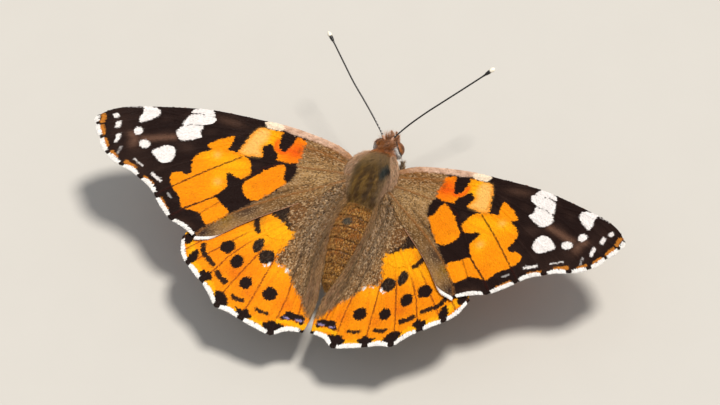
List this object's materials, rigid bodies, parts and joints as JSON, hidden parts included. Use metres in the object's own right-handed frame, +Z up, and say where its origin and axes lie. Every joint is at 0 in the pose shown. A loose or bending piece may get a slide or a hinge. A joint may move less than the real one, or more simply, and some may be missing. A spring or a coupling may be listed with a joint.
{
  "type": "painted lady butterfly",
  "caption": "Still, life-size painted lady butterfly standing on its four walking legs, wings spread flat, antennae held forward.",
  "frame": {"origin": "on the floor, at the middle of the box that holds the whole butterfly", "axes": "+X to the butterfly's own left along the wing span, +Y towards its tail (the head faces -Y), +Z up"},
  "size_m": [0.0628, 0.035, 0.012],
  "materials": {
    "wing_scales": "matt scales in orange, black-brown and white",
    "body_hair": "olive-brown hair",
    "body_scales": "orange-brown scales with darker rings",
    "eyes": "glossy brown facets",
    "cuticle": "dark satin cuticle",
    "leg_scales": "fine buff scales"
  },
  "bodies": {
    "root": {"thorax": "body_hair", "abdomen": "body_scales", "head": "body_hair", "eye_left": "eyes", "eye_right": "eyes", "palp_left": "body_hair", "palp_right": "body_hair", "proboscis": "cuticle", "antenna_left": "cuticle", "antenna_right": "cuticle", "forewing_left": "wing_scales", "forewing_right": "wing_scales", "hindwing_left": "wing_scales", "hindwing_right": "wing_scales", "foreleg_left": "leg_scales", "foreleg_right": "leg_scales", "midleg_left": "leg_scales", "midleg_right": "leg_scales", "hindleg_left": "leg_scales", "hindleg_right": "leg_scales"}
  },
  "joints": []
}
